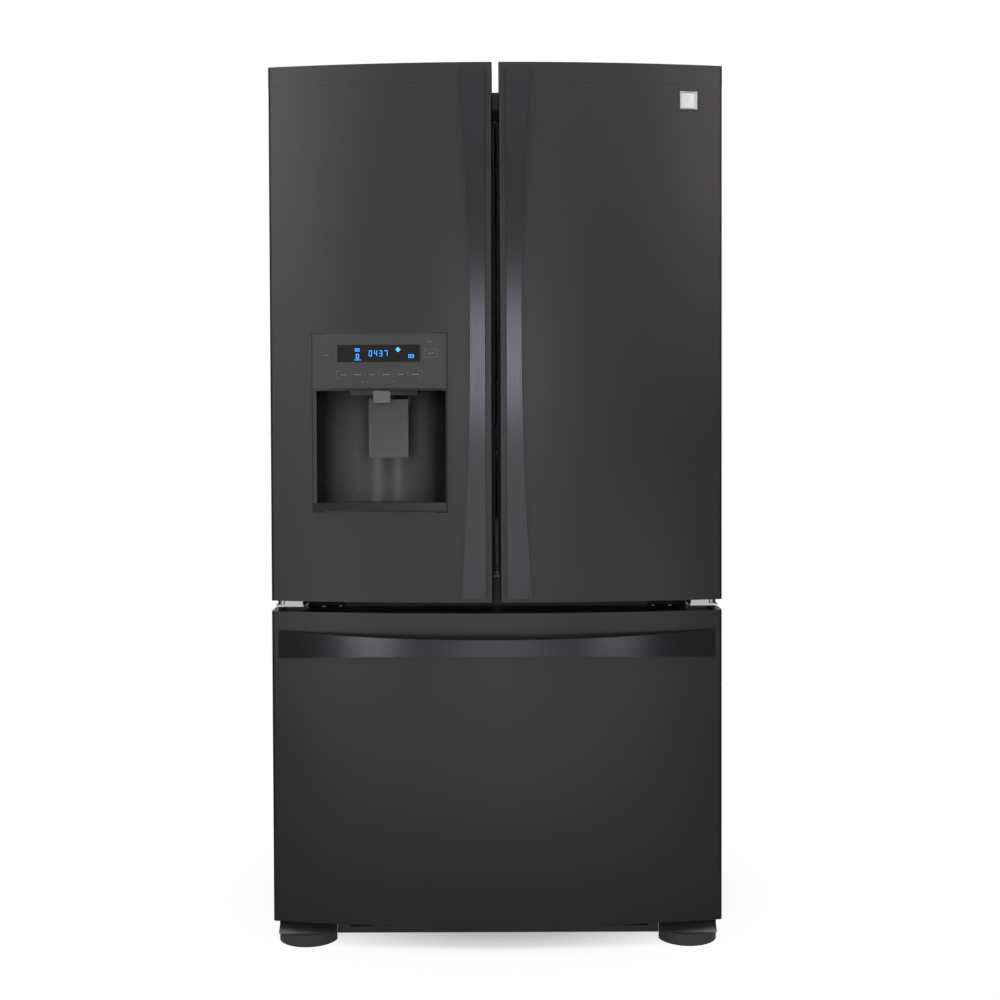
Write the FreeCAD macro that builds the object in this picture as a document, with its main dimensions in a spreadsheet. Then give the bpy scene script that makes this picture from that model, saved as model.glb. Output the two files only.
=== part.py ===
"""French door refrigerator: two upper doors over one freezer drawer.

Millimetres, +Z up, front facing -Y, origin on the floor under the centre of the whole body.
"""
import FreeCAD
import os
import Part
import Sketcher
from FreeCAD import Placement, Rotation, Vector

DIMENSIONS = {
    "overall_width": 908,
    "overall_depth": 900,
    "overall_height": 1772,
    "cabinet_width": 904,
    "cabinet_depth": 745,
    "cabinet_top": 1730,
    "cabinet_base": 52,
    "machine_depth": 200,
    "machine_roof": 300,
    "steel": 1.2,
    "plastic": 2.5,
    "insulation": 50,
    "door_gap": 12,
    "door_side_depth": 65,
    "door_bulge": 42,
    "door_bottom": 697.5,
    "door_top": 1765,
    "centre_gap": 13,
    "cap_height": 40,
    "drawer_bottom": 48,
    "drawer_top": 676,
    "shelf_floor": 735,
    "shelf_ceiling": 1690,
    "hinge_inset": 20,
    "hinge_pin_radius": 5,
    "handle_inner": 21.2,
    "handle_end": 70,
    "handle_waist": 50.2,
    "handle_bottom": 706,
    "handle_top": 1757,
    "handle_thickness": 10,
    "handle_bow": 24,
    "dispenser_left": 366.4,
    "dispenser_right": 98,
    "dispenser_bottom": 878,
    "dispenser_lintel": 1124,
    "dispenser_top": 1232,
    "glass": 4,
}

doc = FreeCAD.newDocument("french_door_refrigerator")
sheet = doc.addObject("Spreadsheet::Sheet", "Dimensions")
for row, (alias, number) in enumerate(DIMENSIONS.items(), start=1):
    sheet.set(f"A{row}", alias)
    sheet.set(f"B{row}", str(number))
    sheet.setAlias(f"B{row}", alias)
doc.recompute()


class Size:
    """A length worked out from the sheet, with the formula that binds a property to it."""

    def __init__(self, number, formula=None):
        self.number = float(number)
        self.formula = formula or f"{self.number:.6g}"

    def __add__(self, other):
        other = size(other)
        return Size(self.number + other.number, f"({self.formula} + {other.formula})")

    def __sub__(self, other):
        other = size(other)
        return Size(self.number - other.number, f"({self.formula} - {other.formula})")

    def __mul__(self, other):
        other = size(other)
        return Size(self.number * other.number, f"({self.formula} * {other.formula})")

    def root(self):
        return Size(self.number ** 0.5, f"sqrt({self.formula})")

    def __truediv__(self, other):
        other = size(other)
        return Size(self.number / other.number, f"({self.formula} / {other.formula})")

    def __neg__(self):
        return Size(-self.number, f"(0 - {self.formula})")

    def __radd__(self, other):
        return size(other) + self

    def __rsub__(self, other):
        return size(other) - self


def size(value):
    return value if isinstance(value, Size) else Size(value)


def cell(alias):
    return Size(sheet.get(alias), f"Dimensions.{alias}")


def bind(thing, name, value):
    """Sets a property to a size and keeps it bound to the sheet."""
    value = size(value)
    if "Dimensions" in value.formula:
        thing.setExpression(name, value.formula)
    elif name.startswith("Placement.Base."):
        place = thing.Placement
        setattr(place.Base, name[-1], value.number)
        thing.Placement = place
    else:
        setattr(thing, name, value.number)


def put(thing, x=0, y=0, z=0):
    for letter, value in zip("xyz", (x, y, z)):
        bind(thing, f"Placement.Base.{letter}", value)
    return thing


def new(kind):
    return doc.addObject(kind, "solid")


def box(x, y, z):
    """A block between the two ends given for each axis."""
    block = new("Part::Box")
    for name, (low, high) in zip(("Length", "Width", "Height"), (x, y, z)):
        bind(block, name, size(high) - low)
    return put(block, x[0], y[0], z[0])


TURNS = {
    "x": Rotation(Vector(0, 1, 0), 90),
    "y": Rotation(Vector(1, 0, 0), -90),
    "z": Rotation(),
}


def rod(centre, radius, length, along="z"):
    """A round bar that starts at centre and runs the way the axis letter says."""
    bar = new("Part::Cylinder")
    bind(bar, "Radius", radius)
    bind(bar, "Height", length)
    bar.Placement = Placement(Vector(), TURNS[along])
    return put(bar, *centre)


def ring(centre, outer, inner, length, along="z"):
    return cut(rod(centre, outer, length, along), rod(centre, inner, length, along))


def fuse(*solids):
    whole = new("Part::MultiFuse")
    whole.Shapes = list(solids)
    return whole


def cut(base, *tools):
    rest = new("Part::Cut")
    rest.Base = base
    rest.Tool = tools[0] if len(tools) == 1 else fuse(*tools)
    return rest


def common(first, second):
    both = new("Part::MultiCommon")
    both.Shapes = [first, second]
    return both


def group(*solids):
    """Separate solids that share one node."""
    kept = new("Part::Compound")
    kept.Links = list(solids)
    return kept


def mirrored(solid):
    """The same piece on the other side of the body."""
    other = new("Part::Mirroring")
    other.Source = solid
    other.Normal = (1, 0, 0)
    return other


def tub(x, y, z, wall, mouth):
    """A box with thin walls, open on the side that mouth names, such as -y or +z."""
    inner = {"x": [size(x[0]) + wall, size(x[1]) - wall],
             "y": [size(y[0]) + wall, size(y[1]) - wall],
             "z": [size(z[0]) + wall, size(z[1]) - wall]}
    sign, axis = mouth
    end = 1 if sign == "+" else 0
    inner[axis][end] = {"x": x, "y": y, "z": z}[axis][end] + size(1 if end else -1)
    return cut(box(x, y, z), box(inner["x"], inner["y"], inner["z"]))


def plane_of(body, role):
    return [item for item in body.Origin.OriginFeatures if item.Role == role][0]


def outline(body, role, corners):
    """A closed sketch. Each corner is (across, up, bend), where bend is None for a straight side
    from it, or the radius of a bent one: positive bends to the right of the way the outline runs."""
    sketch = body.newObject("Sketcher::SketchObject", "outline")
    sketch.AttachmentSupport = [(plane_of(body, role), "")]
    sketch.MapMode = "FlatFace"
    ends = []
    for index, (across, up, bend) in enumerate(corners):
        start = Vector(size(across).number, size(up).number)
        following = corners[(index + 1) % len(corners)]
        stop = Vector(size(following[0]).number, size(following[1]).number)
        if bend is None:
            side = sketch.addGeometry(Part.LineSegment(start, stop), False)
            ends.append((side, 1, side, 2))
            continue
        radius = abs(size(bend).number)
        chord = stop - start
        right = Vector(chord.y, -chord.x).normalize() * (1 if size(bend).number > 0 else -1)
        drop = (radius ** 2 - chord.Length ** 2 / 4) ** 0.5
        peak = (start + stop) / 2 + right * (radius - drop)
        side = sketch.addGeometry(Part.Arc(start, peak, stop), False)
        forward = sketch.getPoint(side, 1).distanceToPoint(start) < 1e-6
        ends.append((side, 1, side, 2) if forward else (side, 2, side, 1))
        reach = sketch.addConstraint(Sketcher.Constraint("Radius", side, radius))
        fixed = size(bend) if size(bend).number > 0 else -size(bend)
        if "Dimensions" in fixed.formula:
            sketch.setExpression(f"Constraints[{reach}]", fixed.formula)
    for index, (across, up, bend) in enumerate(corners):
        side, first, _, _ = ends[index]
        _, _, before, last = ends[index - 1]
        sketch.addConstraint(Sketcher.Constraint("Coincident", before, last, side, first))
        for kind, value in (("DistanceX", size(across)), ("DistanceY", size(up))):
            held = sketch.addConstraint(
                Sketcher.Constraint(kind, -1, 1, side, first, value.number))
            if "Dimensions" in value.formula:
                sketch.setExpression(f"Constraints[{held}]", value.formula)
    return sketch


def prism(role, corners, low, high):
    """A body padded from one sketch between two heights along its plane's normal."""
    body = new("PartDesign::Body")
    sketch = outline(body, role, corners)
    pad = body.newObject("PartDesign::Pad", "pad")
    pad.Profile = sketch
    bind(pad, "Length", size(high) - low)
    letter, end, pad.Reversed = {
        "XY_Plane": ("z", low, False), "XZ_Plane": ("y", low, True), "YZ_Plane": ("x", low, False),
    }[role]
    bind(body, f"Placement.Base.{letter}", end)
    return body


PIECES = {}


def piece(name, solid):
    solid.Label = name
    PIECES[name] = solid
    return solid


# Shared planes and places
half_width = cell("overall_width") / 2
half_case = cell("cabinet_width") / 2
back = cell("overall_depth") / 2
case_front = back - cell("cabinet_depth")
case_top = cell("cabinet_top")
case_base = cell("cabinet_base")
steel = cell("steel")
plastic = cell("plastic")
case_back = back - steel
door_back = case_front - cell("door_gap")
door_side = door_back - cell("door_side_depth")
door_front = door_side - cell("door_bulge")
bulge = cell("door_bulge")
curve = (half_width * half_width + bulge * bulge) / (bulge * 2)
half_gap = cell("centre_gap") / 2
cavity_half = half_case - steel - cell("insulation")
cavity_back = case_back - cell("insulation")
shelf_floor = cell("shelf_floor")
shelf_ceiling = cell("shelf_ceiling")
hinge_x = cell("hinge_inset") - half_width
pin_setback = 41
hinge_y = door_back - pin_setback
pin = cell("hinge_pin_radius")
machine_front = back - cell("machine_depth")
machine_roof = cell("machine_roof")
freezer_floor = size(100)
freezer_step = size(330)
freezer_ceiling = size(630)
seal_back = door_back + 0.1
seal_face = case_front - 0.4


def both_sides(half):
    return (-size(half), size(half))


def front_at(x, inset=0):
    """The depth of the bowed front at x, set back by inset."""
    reach = curve - inset
    return door_front + curve - (reach * reach - size(x) * x).root()


def slab(left, right, inset, rear, low, high):
    """A block whose front follows the bow of the doors."""
    return prism("XY_Plane", [
        (left, front_at(left, inset), curve - inset),
        (right, front_at(right, inset), None),
        (right, rear, None),
        (left, rear, None),
    ], low, high)


# Cabinet: side, top and bottom sheets, with a frame of folded strips round the two openings
wrap_half = half_case - steel
frame_depth = (case_front, case_front + steel)
base_sheet = (case_base, case_base + steel)
side_flange = 30
side_panel = box((-half_case, -wrap_half), (case_front, case_back), (case_base, case_top))
stile = box((-wrap_half, -cavity_half), frame_depth, (case_base + steel, case_top - steel))
rear_flange = box((-wrap_half, -half_case + side_flange), (machine_front, case_back), base_sheet)
piece("cabinet_shell", group(
    *[sheet_part for half in (side_panel, stile, rear_flange)
      for sheet_part in (half, mirrored(half))],
    box(both_sides(wrap_half), (case_front, case_back), (case_top - steel, case_top)),
    box(both_sides(wrap_half), (case_front, machine_front), base_sheet),
    *[box(both_sides(cavity_half), frame_depth, ends) for ends in (
        (shelf_ceiling, case_top - steel),
        (freezer_ceiling, shelf_floor),
        (case_base + steel, freezer_floor),
    )],
))
piece("back_panel", fuse(
    box(both_sides(half_case), (case_back, back), (machine_roof - steel, case_top)),
    box(both_sides(half_case - steel), (machine_front, case_back),
        (machine_roof - steel, machine_roof)),
))
cold_room = (both_sides(cavity_half), (case_front + steel, cavity_back), (shelf_floor, shelf_ceiling))
upper_freezer = (both_sides(cavity_half), (case_front + steel, cavity_back),
                 (freezer_step, freezer_ceiling))
lower_freezer = (both_sides(cavity_half), (case_front + steel, machine_front - 45),
                 (freezer_floor, freezer_step + 5))
piece("cabinet_foam", cut(
    box(both_sides(half_case - steel), (case_front + steel, case_back),
        (case_base + steel, case_top - steel)),
    box(*cold_room),
    box(*upper_freezer),
    box(*lower_freezer),
    box(both_sides(half_case), (machine_front, back), (case_base, machine_roof)),
))
striker_low = shelf_ceiling - 12
piece("fridge_liner", fuse(
    tub(*cold_room, plastic, "-y"),
    cut(
        box(both_sides(70), (case_front + 6, case_front + 60), (striker_low, shelf_ceiling - 2)),
        box(both_sides(52), (case_front + 5, case_front + 46), (striker_low - 1, striker_low + 6)),
    ),
))


def shrunk(room, front_open):
    (left, right), (near, far), (low, high) = room
    return box((left + plastic, right - plastic), (near - 5, far - plastic),
               (low + plastic, high + front_open))


fan_height = size(580)
chamber_front = size(300)
fan_radius = 38
piece("freezer_liner", fuse(
    cut(
        fuse(box(*upper_freezer), box(*lower_freezer)),
        shrunk(upper_freezer, -plastic),
        shrunk(lower_freezer, 5),
    ),
    cut(
        box(both_sides(cavity_half - plastic), (chamber_front, chamber_front + plastic),
            (freezer_step + plastic, freezer_ceiling - plastic)),
        rod((0, chamber_front - 5, fan_height), fan_radius + 4, 20, "y"),
        *[box((across, across + 60), (chamber_front - 5, chamber_front + 10), (350, 356))
          for across in range(-250, 200, 110)],
    ),
))

# Base, feet, rollers and kick parts
roller_y = back - 50
roller_radius = 18
axle = 4
roller_places = [-380, 380]
fork_plates = [
    cut(
        box((x + side - 2, x + side + 2), (roller_y - 16, roller_y + 16), (8, case_base - 2)),
        rod((x + side - 6, roller_y, roller_radius), axle + 0.06, 12, "x"),
    )
    for x in roller_places for side in (-18, 18)
]
foot_x = 390
foot_y = case_front - 22
piece("base_frame", fuse(
    cut(
        tub(both_sides(half_case - 4), (case_front + 4, case_back - 4), (34, case_base), 2, "-z"),
        *[box((x - 16.5, x + 16.5), (roller_y - 20, roller_y + 20), (30, case_base - 1))
          for x in roller_places],
    ),
    *[box((side * foot_x - 20, side * foot_x + 20), (case_front - 44, case_front + 8), (40, 46))
      for side in (-1, 1)],
    *fork_plates,
))
piece("rear_rollers", group(*[
    fuse(
        rod((x - 14, roller_y, roller_radius), roller_radius, 28, "x"),
        rod((x - 24, roller_y, roller_radius), axle, 48, "x"),
    )
    for x in roller_places
]))
foot_radius = 17
stem_radius = 6
piece("levelling_feet", group(*[
    fuse(
        rod((x, foot_y, 0), foot_radius, 6),
        rod((x, foot_y, 6), 10, 8),
        rod((x, foot_y, 14), stem_radius, 26),
    )
    for x in (-foot_x, foot_x)
]))
cover_left = size(-445)
cover_right = size(-328)
cover_rear = size(-346)
cover_lip = size(23)
cover_top = cell("drawer_bottom") - 2


def toe(inset, low, high):
    return prism("XY_Plane", [
        (cover_left + inset, cover_rear, 60.4 - inset),
        (cover_right - inset, cover_rear, None),
    ], low, high)


foot_cover = fuse(
    cut(toe(0, 0.5, cover_lip), toe(3, 0, cover_lip - 3)),
    prism("YZ_Plane", [
        (cover_rear - 30, cover_lip, None),
        (cover_rear + 3, cover_lip, None),
        (cover_rear + 3, cover_top, None),
        (cover_rear - 2, cover_top, None),
    ], cover_left + 2, cover_right - 2),
    box((cover_left, cover_right), (cover_rear, cover_rear + 3), (0.5, cover_top)),
)
piece("leg_covers", group(foot_cover, mirrored(foot_cover)))
piece("base_grille", cut(
    box(both_sides(-cover_right - 1), (cover_rear - 4, cover_rear), (15, cover_top)),
    *[box((across, across + 48), (cover_rear - 5, cover_rear + 1), (level, level + 4))
      for across in range(-300, 300, 62) for level in (28, 36)],
))

# Hinges
door_bottom = cell("door_bottom")
door_top = cell("door_top")
arm_low = door_top - 9
plate_top = door_bottom - 9.5
top_hinge = fuse(
    rod((hinge_x, hinge_y, arm_low), 12, 4),
    rod((hinge_x, hinge_y, arm_low - 22), pin, 22),
    box((hinge_x - 9, hinge_x + 9), (hinge_y, case_front + 90), (arm_low, arm_low + 4)),
    box((hinge_x - 9, hinge_x + 9), (case_front + 16, case_front + 90), (case_top, arm_low)),
    box((hinge_x - 9, hinge_x + 32), (case_front + 16, case_front + 90), (case_top, case_top + 4)),
)
piece("top_hinges", group(top_hinge, mirrored(top_hinge)))
cover_shell = cut(
    tub((hinge_x - 14, hinge_x + 40), (case_front + 6, case_front + 110),
        (case_top, cell("overall_height")), 2, "-z"),
    box((hinge_x - 10, hinge_x + 10), (case_front, case_front + 12), (case_top - 1, arm_low + 4.5)),
)
piece("hinge_covers", group(cover_shell, mirrored(cover_shell)))
flange_face = case_front - 3
centre_hinge = fuse(
    box((hinge_x - 12, hinge_x + 44), (hinge_y - 16, flange_face), (plate_top - 4, plate_top)),
    box((hinge_x + 2, hinge_x + 122), (flange_face, case_front), (plate_top - 34, plate_top)),
    box((hinge_x + 6, hinge_x + 42), (hinge_y - 16, hinge_y + 16), (plate_top, plate_top + 8.8)),
    rod((hinge_x, hinge_y, plate_top - 1), pin, 24),
)
piece("centre_hinges", group(centre_hinge, mirrored(centre_hinge)))
flange_screws = [
    fuse(
        rod((hinge_x + reach, flange_face - 2.5, plate_top - 15), 4.5, 2.5, "y"),
        rod((hinge_x + reach, flange_face - 1, plate_top - 15), 1.9, 1, "y"),
    )
    for reach in (77, 112)
]
cover_screws = [
    rod((hinge_x + 24, case_front + 34 + 40 * row, case_top + 4), 5, 3)
    for row in range(2)
]
screws = flange_screws + cover_screws
piece("hinge_screws", group(*screws, *[mirrored(screw) for screw in screws]))

# Cold room fittings
shelf_near = case_front + 165
shelf_far = cavity_back - 36
split = 3
shelf_half = cavity_half - plastic - 2
glass = cell("glass")
shelf_heights = (1180, 1440)
panes = [
    box(ends, (shelf_near, shelf_far), (level, level + glass))
    for level in shelf_heights
    for ends in ((-shelf_half, -size(split)), (size(split), shelf_half))
]
crisper_top = size(985)
panes.append(box(both_sides(shelf_half), (shelf_near - 36, shelf_far),
                 (crisper_top, crisper_top + glass)))
piece("glass_shelves", group(*panes))


def drawer_box(left, right, low, high):
    """An open-topped bin with a pull lip along its front."""
    near = shelf_near - 34
    return fuse(
        tub((left, right), (near, shelf_far - 6), (low, high), plastic, "+z"),
        box((left + 40, right - 40), (near - 8, near), (high - 16, high - 4)),
    )


crisper_low = size(852)
pantry_high = crisper_low - 8
piece("crisper_drawers", group(
    drawer_box(-shelf_half + 4, size(-split), crisper_low, crisper_top - 6),
    drawer_box(size(split), shelf_half - 4, crisper_low, crisper_top - 6),
    drawer_box(-shelf_half + 4, shelf_half - 4, shelf_floor + plastic + 2, pantry_high),
))
duct_front = cavity_back - plastic - 30
piece("air_duct", cut(
    tub(both_sides(95), (duct_front, cavity_back - plastic), (1000, shelf_ceiling - plastic - 1),
        3, "+y"),
    *[box((-60, 60), (duct_front - 1, duct_front + 4), (level, level + 8))
      for level in (1060, 1090, 1260, 1290, 1520, 1550)],
))
filter_x = size(350)
filter_z = size(1648)
filter_near = case_front + 180
knob_length = 18
piece("water_filter", fuse(
    rod((filter_x, filter_near + knob_length, filter_z), 27, 180, "y"),
    rod((filter_x, filter_near, filter_z), 30, knob_length, "y"),
    box((filter_x - 24, filter_x + 24), (filter_near - 10, filter_near + 1),
        (filter_z - 4, filter_z + 4)),
))

# Freezer works
fin_count = 22
fin_pitch = 26.5
fins = [
    box((fin_pitch * fin - 290, fin_pitch * fin - 289), (chamber_front + 22, chamber_front + 78),
        (352, 532))
    for fin in range(fin_count)
]
tube_runs = [
    rod((-300, chamber_front + depth, level), 4.5, 600, "x")
    for depth in (36, 64) for level in (380, 440, 500)
]
piece("evaporator", fuse(*fins, *tube_runs))


def blade_wheel(centre, radius, hub, length, along, count=5):
    """A fan wheel: a hub with flat paddles round it, turning on the axis letter."""
    blades = []
    for turn in range(count):
        blade = new("Part::Box")
        blade.Length = radius - hub + 2
        blade.Width = 1.6
        blade.Height = length * 0.9
        blade.Placement = Placement(Vector(hub - 2, 0, length * 0.05), Rotation(Vector(1, 0, 0), 35))
        spoke = new("Part::Compound")
        spoke.Links = [blade]
        spoke.Placement = Placement(Vector(), Rotation(Vector(0, 0, 1), 360 * turn / count))
        blades.append(spoke)
    core = new("Part::Cylinder")
    core.Radius = hub
    core.Height = length
    wheel = fuse(core, *blades)
    wheel.Placement = Placement(Vector(), TURNS[along])
    return put(wheel, *centre)


piece("evaporator_fan", blade_wheel((0, chamber_front + 4, fan_height), fan_radius, 12, 14, "y"))
machine_x = 190
piece("compressor", fuse(
    rod((machine_x, machine_front + 100, 70), 76, 120),
    ring((machine_x, machine_front + 100, 124), 82, 70, 8),
    rod((machine_x, machine_front + 100, 188), 58, 14),
    box((machine_x - 90, machine_x + 90), (machine_front + 40, machine_front + 160), (58, 64)),
    *[rod((machine_x + across, machine_front + 100 + along, 54), 11, 18)
      for across in (-76, 76) for along in (-46, 46)],
    box((machine_x + 60, machine_x + 92), (machine_front + 76, machine_front + 124), (96, 152)),
    rod((machine_x - 40, machine_front + 100, 200), 5, 46),
))
condenser_x = -330
condenser_fins = [
    box((across, across + 1.2), (machine_front + 34, machine_front + 164), (70, 236))
    for across in range(condenser_x, condenser_x + 200, 10)
]
condenser_tubes = [
    rod((condenser_x - 8, machine_front + 99 + depth, level), 4, 208, "x")
    for depth in (-40, 0, 40) for level in (100, 153, 206)
]
fan_x = -88
fan_y = machine_front + 99
fan_z = 158
wheel_radius = 80
shroud = cut(
    box((condenser_x + 200, fan_x + 20), (machine_front + 10, machine_front + 188), (54, 262)),
    rod((condenser_x + 195, fan_y, fan_z), wheel_radius + 4, 140, "x"),
)
piece("condenser", fuse(*condenser_fins, *condenser_tubes, shroud))
piece("condenser_fan", blade_wheel((fan_x - 8, fan_y, fan_z), wheel_radius, 24, 22, "x"))
vents = [
    box((across, across + 32), (back - 5, back + 5), (low, low + 5))
    for across in range(-400, 400, 46) for low in (90, 106, 122, 200, 216, 232)
]
piece("machine_cover", cut(
    box(both_sides(half_case - 2), (back - 3, back), (case_base + 4, machine_roof - 3)),
    *vents,
    box((-26, 26), (back - 5, back + 5), (152, 188)),
))
piece("power_inlet", cut(
    fuse(
        box((-34, 34), (back - 4.4, back - 3), (144, 196)),
        box((-25, 25), (back - 24, back - 0.2), (153, 187)),
    ),
    box((-20, 20), (back - 18, back + 1), (158, 182)),
))

# Doors: the left one is drawn, and the right one mirrors what both share
cap = cell("cap_height")
door_left = -half_width
door_right = -half_gap
lip = 0.3
sheet_gauge = 1.2
skin_low = door_bottom + 14
skin_high = door_top - cap
seal_low = door_bottom + 20
seal_high = cell("shelf_ceiling") + 25
seal_left = size(-425)
seal_right = size(-9)
dyke_left = size(-382)
dyke_right = size(-62)
dyke_wall = 12
dyke_depth = case_front + 55
dyke_low = size(760)
dyke_high = size(1668)
dispenser_left = -cell("dispenser_left")
dispenser_right = -cell("dispenser_right")
dispenser_bottom = cell("dispenser_bottom")
lintel = cell("dispenser_lintel")
dispenser_top = cell("dispenser_top")


def rounded(body, radius, across, along):
    """Rounds the upright edges of a padded body that stand near (across, along)."""
    doc.recompute()
    pad = body.Tip
    upright = []
    for number, edge in enumerate(pad.Shape.Edges, start=1):
        extent = edge.BoundBox
        near = abs(extent.Center.x - across) < 2 and abs(extent.Center.y - along) < 2
        if near and extent.ZLength > 5 and extent.XLength < 0.1:
            upright.append(f"Edge{number}")
    fillet = body.newObject("PartDesign::Fillet", "rounding")
    fillet.Base = (pad, upright)
    fillet.Radius = radius
    body.Tip = fillet
    return body


def door_block(inset, rear, low, high):
    left = door_left + inset
    right = door_right - inset
    block = slab(left, right, inset, rear, low, high)
    rounded(block, 7 - inset, left.number, front_at(left, inset).number)
    return rounded(block, 4 - inset, right.number, front_at(right, inset).number)


def door_skin(*windows):
    return cut(
        door_block(lip, door_back - plastic, skin_low, skin_high),
        door_block(lip + sheet_gauge, door_back + 5, skin_low - 5, skin_high + 5),
        *windows,
    )


def pin_hole(radius, low, high):
    return rod((hinge_x, hinge_y, low), radius, high - low)


def door_caps():
    """The moulded ends that close the skin, with the bushes for the hinge pins."""
    top = cut(
        door_block(0, door_back - plastic, skin_high, door_top),
        box((door_left - 5, hinge_x + 38), (hinge_y - 18, door_back + 5), (arm_low - 1, door_top + 5)),
        pin_hole(pin + 0.06, arm_low - 28, door_top),
    )
    bottom = cut(
        door_block(lip, door_back - plastic, door_bottom, skin_low),
        pin_hole(pin + 0.06, door_bottom - 1, skin_low + 1),
    )
    return group(top, bottom)


def door_foam(*hollows):
    return cut(
        door_block(lip + sheet_gauge, door_back - plastic, skin_low, skin_high),
        pin_hole(pin + 2, skin_low - 1, skin_low + 10),
        *hollows,
    )


def seal(left, right, low, high):
    return cut(
        box((left, right), (seal_back, seal_face), (low, high)),
        box((left + 16, right - 16), (seal_back - 1, seal_face + 1), (low + 16, high - 16)),
    )


def door_liner(*holes):
    """The inner panel, cut where asked, with the four walls that rise round the bins."""
    panel = box((door_left + 4, door_right - 4), (door_back - plastic, door_back),
                (door_bottom + 4, door_top - 14))
    inner_sides = (dyke_left + dyke_wall, dyke_right - dyke_wall)
    rise = (door_back, dyke_depth)
    return [
        cut(panel, *holes) if holes else panel,
        box((dyke_left, inner_sides[0]), rise, (dyke_low, dyke_high)),
        box((inner_sides[1], dyke_right), rise, (dyke_low, dyke_high)),
        box(inner_sides, rise, (dyke_low, dyke_low + dyke_wall)),
        box(inner_sides, rise, (dyke_high - dyke_wall, dyke_high)),
    ]


bin_left = dyke_left + dyke_wall + 1
bin_right = dyke_right - dyke_wall - 1
bin_depth = case_front + 118


def door_bin(low, high):
    return tub((bin_left, bin_right), (door_back + 0.5, bin_depth), (low, high), plastic, "+z")


# Ice and water station
recess_wall = 1.6
ceiling = lintel - 5
recess_back = size(-318)
station_x = (dispenser_left + dispenser_right) / 2
alcove_reach = (dispenser_right - dispenser_left) / 2 - recess_wall
alcove_mouth = size(-400)
alcove_sag = recess_back - alcove_mouth
alcove_radius = (alcove_reach * alcove_reach + alcove_sag * alcove_sag) / (alcove_sag * 2)
alcove_axis = recess_back - alcove_radius
chute_x = size(-218)
chute_y = size(-372)
spout_bore = 17
station = box((dispenser_left, dispenser_right), (-420, recess_back + 4),
              (dispenser_bottom, dispenser_top))


def fascia(proud, depth, left, right, low, high):
    """A plate that follows the bow of the door and stands proud of its skin."""
    return cut(
        slab(left, right, lip - proud, door_side + 30, low, high),
        slab(left - 5, right + 5, lip - proud + depth, door_side + 40, low - 5, high + 5),
    )


display_left = size(-316)
display_right = size(-150)
display_low = size(1176)
display_high = size(1210)
piece("left_door_skin", door_skin(station))
piece("left_door_caps", door_caps())
chute_half = 34
chute_sides = (chute_x - chute_half, chute_x + chute_half)
chute_room = box(chute_sides, (-402, door_back), (dispenser_top - 110, dispenser_top - 40))
chute_way = box(chute_sides, (-366, door_back), (dispenser_top - 41, dispenser_top + 60))
piece("left_door_foam", door_foam(
    box((dispenser_left, dispenser_right), (-420, recess_back + 4), (dispenser_bottom, lintel)),
    box((dispenser_left, dispenser_right), (-420, -374), (lintel - 1, dispenser_top)),
    chute_room,
    chute_way,
))
mullion_left = size(-48)
mullion_right = size(-2.5)
mullion_low = shelf_floor + 12
mullion_high = shelf_ceiling - 20
mullion_pivot_x = mullion_left + 6
mullion_pivot_y = case_front + 10
mullion_pin = 2.5
lugs = [
    fuse(
        box((mullion_left - 12, mullion_left + 14), (case_front + 2, case_front + 16),
            (level, level + 6)),
        box((mullion_left - 14, mullion_left - 4), (door_back, case_front + 16),
            (level, level + 6)),
        rod((mullion_pivot_x, mullion_pivot_y, pin_low), mullion_pin, 12),
    )
    for level, pin_low in (
        (mullion_low - 7, mullion_low - 4),
        (mullion_high + 1, mullion_high - 8),
    )
]
chute_hole = box(chute_sides, (door_back - 5, door_back + 5),
                 (dispenser_top - 30, dispenser_top + 60))
piece("left_door_liner", group(*door_liner(chute_hole), *lugs))
piece("mullion_bar", cut(
    box((mullion_left, mullion_right), (case_front + 0.3, case_front + 20),
        (mullion_low, mullion_high)),
    *[rod((mullion_pivot_x, mullion_pivot_y, level), mullion_pin + 0.06, 12)
      for level in (mullion_low - 1, mullion_high - 11)],
))
piece("left_gasket", seal(seal_left, seal_right, seal_low, seal_high))
piece("dispenser_panel", cut(
    fascia(1.4, 8, dispenser_left, dispenser_right, lintel, dispenser_top),
    box((display_left, display_right), (-420, -380), (display_low, display_high)),
))
piece("display_window", fascia(1.7, 4, display_left + 0.3, display_right - 0.3,
                               display_low + 0.3, display_high - 0.3))
alcove = common(
    rod((station_x, alcove_axis, dispenser_bottom + recess_wall), alcove_radius,
        ceiling - dispenser_bottom - recess_wall),
    box((dispenser_left + recess_wall, dispenser_right - recess_wall), (-430, recess_back + 2),
        (dispenser_bottom, lintel)),
)
piece("dispenser_recess", cut(
    slab(dispenser_left, dispenser_right, lip - 1.4, recess_back + 3.5, dispenser_bottom, lintel),
    alcove,
    rod((chute_x, chute_y, lintel - 10), spout_bore, 20),
))
nozzle_low = size(1103)
paddle_top = size(1098)
paddle_y = size(-346)
paddle_axle = 2
paddle_ears = [
    cut(
        box((chute_x + side * 43 - 2, chute_x + side * 43 + 2), (paddle_y - 5, paddle_y + 5),
            (paddle_top - 5, ceiling - 8)),
        rod((chute_x + side * 43 - 4, paddle_y, paddle_top), paddle_axle + 0.06, 8, "x"),
    )
    for side in (-1, 1)
]
piece("dispenser_nozzle", fuse(
    cut(
        box((chute_x - 72, chute_x + 62), (-404, -344), (ceiling - 9, ceiling)),
        rod((chute_x, chute_y, ceiling - 12), spout_bore, 20),
    ),
    ring((chute_x, chute_y, nozzle_low), spout_bore + 3, spout_bore, ceiling - nozzle_low),
    *paddle_ears,
))
paddle_low = 984
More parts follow.
